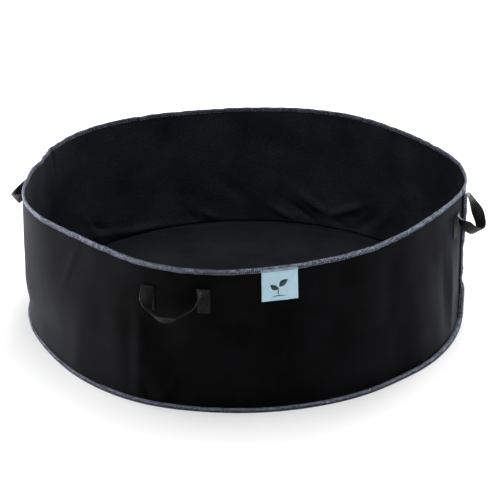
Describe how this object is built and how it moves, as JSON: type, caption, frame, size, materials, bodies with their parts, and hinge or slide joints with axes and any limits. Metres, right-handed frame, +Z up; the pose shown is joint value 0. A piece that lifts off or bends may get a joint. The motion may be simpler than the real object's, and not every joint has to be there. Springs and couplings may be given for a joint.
{
  "type": "fabric grow bag",
  "caption": "Round fabric raised-bed grow bag with an open top, stitched felt wall and base, webbing loop handles and a folded label.",
  "frame": {"origin": "centre of the base disc's underside, on the ground", "axes": "+Z up through the open top; -Y to the front handle, +X to the right handle"},
  "size_m": [1.0273, 1.0295, 0.3028],
  "materials": {
    "felt": "matte needle-punched felt",
    "overlock_thread": "slate-blue overlock thread",
    "webbing": "woven webbing, slight sheen",
    "black_thread": "sewing thread",
    "label_cloth": "satin woven label",
    "label_ink": "printed ink on cloth"
  },
  "bodies": {
    "bag": {"side_wall": "felt", "base_disc": "felt", "rim_overlock": "overlock_thread", "base_overlock": "overlock_thread", "side_seam_overlock": "overlock_thread", "base_needle_thread": "overlock_thread", "side_seam_needle_thread": "overlock_thread", "label_sewn_edge": "label_cloth", "front_handle_left_tab": "webbing", "front_handle_right_tab": "webbing", "front_handle_box_stitches": "black_thread", "right_handle_left_tab": "webbing", "right_handle_right_tab": "webbing", "right_handle_box_stitches": "black_thread", "back_handle_left_tab": "webbing", "back_handle_right_tab": "webbing", "back_handle_box_stitches": "black_thread", "left_handle_left_tab": "webbing", "left_handle_right_tab": "webbing", "left_handle_box_stitches": "black_thread"},
    "label": {"label_panel": "label_cloth", "label_leaf_print": "label_ink"},
    "front_handle": {"front_handle_loop": "webbing"},
    "right_handle": {"right_handle_loop": "webbing"},
    "back_handle": {"back_handle_loop": "webbing"},
    "left_handle": {"left_handle_loop": "webbing"}
  },
  "joints": [
    {"name": "front_handle_lift", "type": "hinge", "parent": "bag", "child": "front_handle", "pos_m": [0.0004, -0.47063, 0.263], "axis": [-0.9982, 0.0601, 0], "range_deg": [0, 115]},
    {"name": "right_handle_lift", "type": "hinge", "parent": "bag", "child": "right_handle", "pos_m": [0.46315, 0.04967, 0.27], "axis": [-0.039, -0.9992, 0], "range_deg": [0, 115]},
    {"name": "back_handle_lift", "type": "hinge", "parent": "bag", "child": "back_handle", "pos_m": [0.00056, 0.45616, 0.26], "axis": [0.9967, 0.0806, 0], "range_deg": [0, 115]},
    {"name": "left_handle_lift", "type": "hinge", "parent": "bag", "child": "left_handle", "pos_m": [-0.4615, -0.01995, 0.26], "axis": [-0.0731, 0.9973, 0], "range_deg": [0, 115]},
    {"name": "label_flap", "type": "hinge", "parent": "bag", "child": "label", "pos_m": [0.19169, -0.42033, 0.29062], "axis": [-0.8601, -0.5102, 0], "range_deg": [0, 120]}
  ]
}
